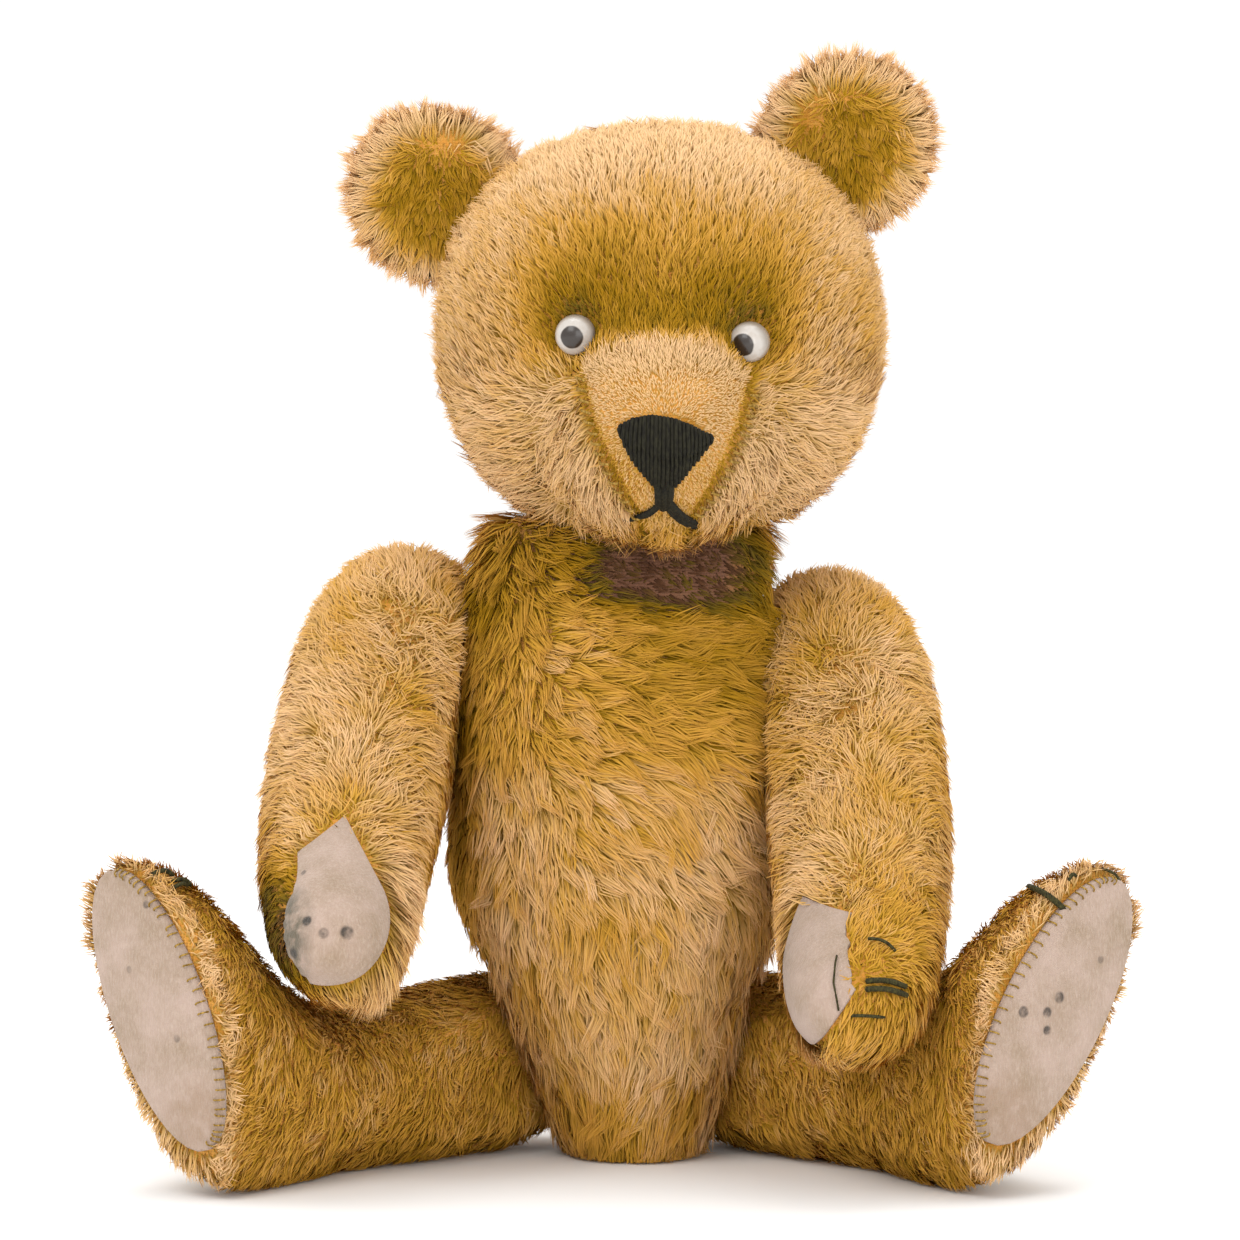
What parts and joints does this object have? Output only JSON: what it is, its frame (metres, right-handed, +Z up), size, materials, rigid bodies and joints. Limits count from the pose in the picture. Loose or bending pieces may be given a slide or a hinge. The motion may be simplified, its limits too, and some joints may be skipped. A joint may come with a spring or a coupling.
{
  "type": "threadbare teddy bear",
  "caption": "Sitting jointed mohair teddy bear with a turning head, turning arms and legs, felt paws and soles, glass eyes and a stitched nose, worn and stained with age.",
  "frame": {"origin": "middle of the footprint, on the surface the bear sits on", "axes": "+Z up, the bear faces -Y, +X is the right of a person who faces it"},
  "size_m": [0.2526, 0.1461, 0.2721],
  "materials": {
    "mohair_plush": "matted golden mohair pile, worn short and stained olive in places",
    "wool_felt": "faded pinkish beige felt, fuzzy, pitted and stained",
    "embroidery_thread": "dark brown-black embroidery thread, slightly glossy",
    "eye_glass": "polished off-white glass with a dark pupil",
    "joint_board": "pressed board",
    "steel_wire": "dull steel"
  },
  "bodies": {
    "torso": {"torso": "mohair_plush", "neck_disc_body": "joint_board", "neck_washer_body": "steel_wire", "neck_cotter_pin": "steel_wire", "shoulder_left_disc_body": "joint_board", "shoulder_left_washer_body": "steel_wire", "shoulder_left_cotter_pin": "steel_wire", "shoulder_right_disc_body": "joint_board", "shoulder_right_washer_body": "steel_wire", "shoulder_right_cotter_pin": "steel_wire", "hip_left_disc_body": "joint_board", "hip_left_washer_body": "steel_wire", "hip_left_cotter_pin": "steel_wire", "hip_right_disc_body": "joint_board", "hip_right_washer_body": "steel_wire", "hip_right_cotter_pin": "steel_wire"},
    "head": {"ear_left": "mohair_plush", "eye_left": "eye_glass", "eye_shank_left": "steel_wire", "ear_right": "mohair_plush", "eye_right": "eye_glass", "eye_shank_right": "steel_wire", "head": "mohair_plush", "nose_stitching": "embroidery_thread", "mouth_stem": "embroidery_thread", "mouth_stitch_left": "embroidery_thread", "mouth_stitch_right": "embroidery_thread", "neck_disc_limb": "joint_board", "neck_washer_limb": "steel_wire"},
    "arm_left": {"arm_left": "mohair_plush", "paw_pad_left": "wool_felt", "shoulder_left_disc_limb": "joint_board", "shoulder_left_washer_limb": "steel_wire"},
    "arm_right": {"arm_right": "mohair_plush", "paw_pad_right": "wool_felt", "shoulder_right_disc_limb": "joint_board", "shoulder_right_washer_limb": "steel_wire"},
    "leg_left": {"leg_left": "mohair_plush", "sole_left": "wool_felt", "hip_left_disc_limb": "joint_board", "hip_left_washer_limb": "steel_wire"},
    "leg_right": {"leg_right": "mohair_plush", "sole_right": "wool_felt", "hip_right_disc_limb": "joint_board", "hip_right_washer_limb": "steel_wire"}
  },
  "joints": [
    {"name": "neck", "type": "hinge", "parent": "torso", "child": "head", "pos_m": [0.00642, 0.02919, 0.16], "axis": [0, 0, 1], "continuous": true},
    {"name": "shoulder_left", "type": "hinge", "parent": "torso", "child": "arm_left", "pos_m": [-0.03558, 0.02619, 0.13], "axis": [-0.9928, 0.087, 0.082], "range_deg": [0, 98]},
    {"name": "shoulder_right", "type": "hinge", "parent": "torso", "child": "arm_right", "pos_m": [0.03742, 0.02619, 0.1245], "axis": [-0.9995, -0.019, -0.026], "range_deg": [0, 84]},
    {"name": "hip_left", "type": "hinge", "parent": "torso", "child": "leg_left", "pos_m": [-0.01358, 0.03169, 0.025], "axis": [-0.7659, 0.6429, 0], "range_deg": [-90, 0]},
    {"name": "hip_right", "type": "hinge", "parent": "torso", "child": "leg_right", "pos_m": [0.01662, 0.03689, 0.025], "axis": [-0.8089, -0.5879, 0], "range_deg": [-90, 0]}
  ]
}
